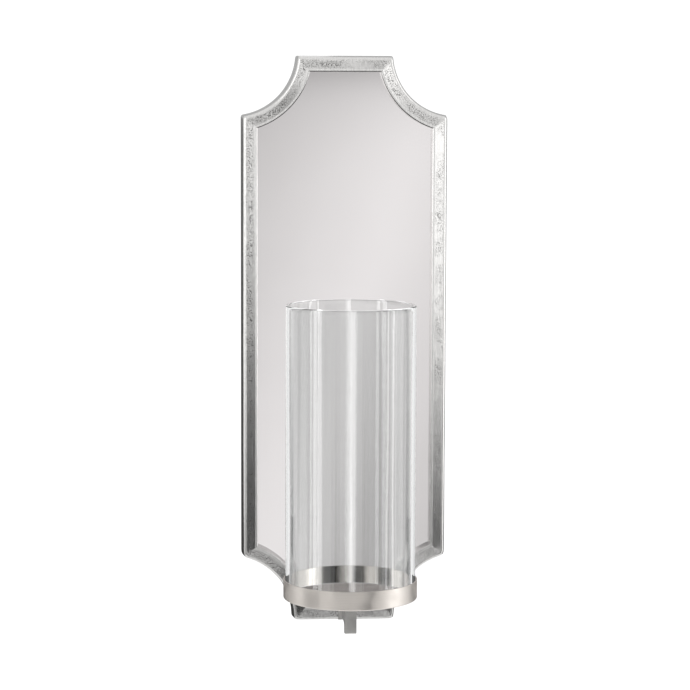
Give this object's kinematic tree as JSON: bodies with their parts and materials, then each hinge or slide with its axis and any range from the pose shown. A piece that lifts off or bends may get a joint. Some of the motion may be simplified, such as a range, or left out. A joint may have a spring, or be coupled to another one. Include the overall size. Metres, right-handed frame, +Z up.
{
  "type": "wall sconce candle holder",
  "caption": "Tall mirrored wall sconce in a silver frame with scooped corners, with an arm, a shallow round pan and a clear glass hurricane for a pillar candle.",
  "frame": {"origin": "on the wall plane, midway between the points where two wall hooks carry the hanger rings when these are turned up", "axes": "+X right as seen from the room, +Y into the wall, +Z up; the sconce faces -Y"},
  "size_m": [0.165, 0.1382, 0.455],
  "materials": {
    "cast_silver": "cast, stippled and hand polished, nickel tone",
    "arm_nickel": "satin cast, nickel tone",
    "pan_nickel": "brushed round, nickel plated",
    "mirror_glass": "plain silvered",
    "clear_glass": "clear, slightly wavy, fire-polished top rim",
    "board": "raw fibreboard",
    "card": "brown card sheet",
    "zinc_steel": "zinc plated",
    "black_rubber": "matt"
  },
  "bodies": {
    "sconce": {"frame": "cast_silver", "mirror": "mirror_glass", "mirror_pad": "card", "backing_board": "board", "button_screws": "zinc_steel", "hanger_screws": "zinc_steel", "wall_bumpers": "black_rubber", "arm": "arm_nickel", "arm_screw": "zinc_steel", "pan": "pan_nickel", "pan_screw": "zinc_steel", "hanger_strap_left": "zinc_steel", "hanger_strap_right": "zinc_steel"},
    "glass": {"hurricane_glass": "clear_glass"},
    "button_left_1": {"turn_button_left_1": "zinc_steel"},
    "button_left_2": {"turn_button_left_2": "zinc_steel"},
    "button_left_3": {"turn_button_left_3": "zinc_steel"},
    "button_right_1": {"turn_button_right_1": "zinc_steel"},
    "button_right_2": {"turn_button_right_2": "zinc_steel"},
    "button_right_3": {"turn_button_right_3": "zinc_steel"},
    "ring_left": {"hanger_ring_left": "zinc_steel"},
    "ring_right": {"hanger_ring_right": "zinc_steel"}
  },
  "joints": [
    {"name": "glass_lift", "type": "slide", "parent": "sconce", "child": "glass", "axis": [0, 0, 1], "range_m": [0, 0.05]},
    {"name": "button_left_1_turn", "type": "hinge", "parent": "sconce", "child": "button_left_1", "pos_m": [-0.078, -0.0032, -0.2686], "axis": [0, 1, 0], "range_deg": [-90, 90]},
    {"name": "button_left_2_turn", "type": "hinge", "parent": "sconce", "child": "button_left_2", "pos_m": [-0.078, -0.0032, -0.1386], "axis": [0, 1, 0], "range_deg": [-90, 90]},
    {"name": "button_left_3_turn", "type": "hinge", "parent": "sconce", "child": "button_left_3", "pos_m": [-0.078, -0.0032, -0.0086], "axis": [0, 1, 0], "range_deg": [-90, 90]},
    {"name": "button_right_1_turn", "type": "hinge", "parent": "sconce", "child": "button_right_1", "pos_m": [0.078, -0.0032, -0.2686], "axis": [0, 1, 0], "range_deg": [-90, 90]},
    {"name": "button_right_2_turn", "type": "hinge", "parent": "sconce", "child": "button_right_2", "pos_m": [0.078, -0.0032, -0.1386], "axis": [0, 1, 0], "range_deg": [-90, 90]},
    {"name": "button_right_3_turn", "type": "hinge", "parent": "sconce", "child": "button_right_3", "pos_m": [0.078, -0.0032, -0.0086], "axis": [0, 1, 0], "range_deg": [-90, 90]},
    {"name": "ring_left_swing", "type": "hinge", "parent": "sconce", "child": "ring_left", "pos_m": [-0.045, -0.00235, -0.0096], "axis": [1, 0, 0], "range_deg": [0, 180]},
    {"name": "ring_right_swing", "type": "hinge", "parent": "sconce", "child": "ring_right", "pos_m": [0.045, -0.00235, -0.0096], "axis": [1, 0, 0], "range_deg": [0, 180]}
  ]
}
